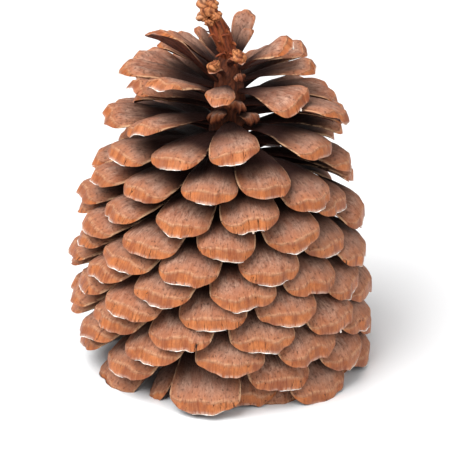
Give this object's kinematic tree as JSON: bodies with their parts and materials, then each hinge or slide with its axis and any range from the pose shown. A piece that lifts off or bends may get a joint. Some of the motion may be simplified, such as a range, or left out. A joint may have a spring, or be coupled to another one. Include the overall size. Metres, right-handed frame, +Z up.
{
  "type": "pine cone",
  "caption": "Open dry pine cone standing apex up: spirals of broad arched woody scales around a slender axis, with a crooked dried shoot at the top.",
  "frame": {"origin": "middle of the cone's outline, on the surface that its lowest scale tips stand on", "axes": "+Z runs up towards the apex, the longest way; -Y is the front; +X is to the right as seen from the front"},
  "size_m": [0.0963, 0.0963, 0.12],
  "materials": {
    "scale_wood": "dry woody scale, matt grey-brown with a satin orange-brown tip",
    "core_wood": "matt dark red-brown fibrous wood"
  },
  "bodies": {
    "root": {"apex_shoot": "core_wood", "cone_axis": "core_wood", "scales_000_008_016": "scale_wood", "scales_001_009_017": "scale_wood", "scales_002_010_018": "scale_wood", "scales_003_011_019": "scale_wood", "scales_004_012_020": "scale_wood", "scales_005_013_021": "scale_wood", "scales_006_014_022": "scale_wood", "scales_007_015_023": "scale_wood", "scales_024_032_040": "scale_wood", "scales_025_033_041": "scale_wood", "scales_026_034_042": "scale_wood", "scales_027_035_043": "scale_wood", "scales_028_036_044": "scale_wood", "scales_029_037_045": "scale_wood", "scales_030_038_046": "scale_wood", "scales_031_039_047": "scale_wood", "scales_048_056_064": "scale_wood", "scales_049_057_065": "scale_wood", "scales_050_058_066": "scale_wood", "scales_051_059_067": "scale_wood", "scales_052_060_068": "scale_wood", "scales_053_061_069": "scale_wood", "scales_054_062_070": "scale_wood", "scales_055_063_071": "scale_wood", "scales_072_080_088": "scale_wood", "scales_073_081_089": "scale_wood", "scales_074_082_090": "scale_wood", "scales_075_083_091": "scale_wood", "scales_076_084_092": "scale_wood", "scales_077_085_093": "scale_wood", "scales_078_086_094": "scale_wood", "scales_079_087_095": "scale_wood", "scales_096_104_112": "scale_wood", "scales_097_105_113": "scale_wood", "scales_098_106_114": "scale_wood", "scales_099_107_115": "scale_wood", "scales_100_108_116": "scale_wood", "scales_101_109_117": "scale_wood", "scales_102_110_118": "scale_wood", "scales_103_111_119": "scale_wood", "scales_120_128_136": "scale_wood", "scales_121_129_137": "scale_wood", "scales_122_130_138": "scale_wood", "scales_123_131_139": "scale_wood", "scales_124_132_140": "scale_wood", "scales_125_133_141": "scale_wood", "scales_126_134_142": "scale_wood", "scales_127_135_143": "scale_wood", "scales_144_152": "scale_wood", "scales_145_153": "scale_wood", "scales_146_154": "scale_wood", "scales_147_155": "scale_wood", "scales_148": "scale_wood", "scales_149": "scale_wood", "scales_150": "scale_wood", "scales_151": "scale_wood"}
  },
  "joints": []
}
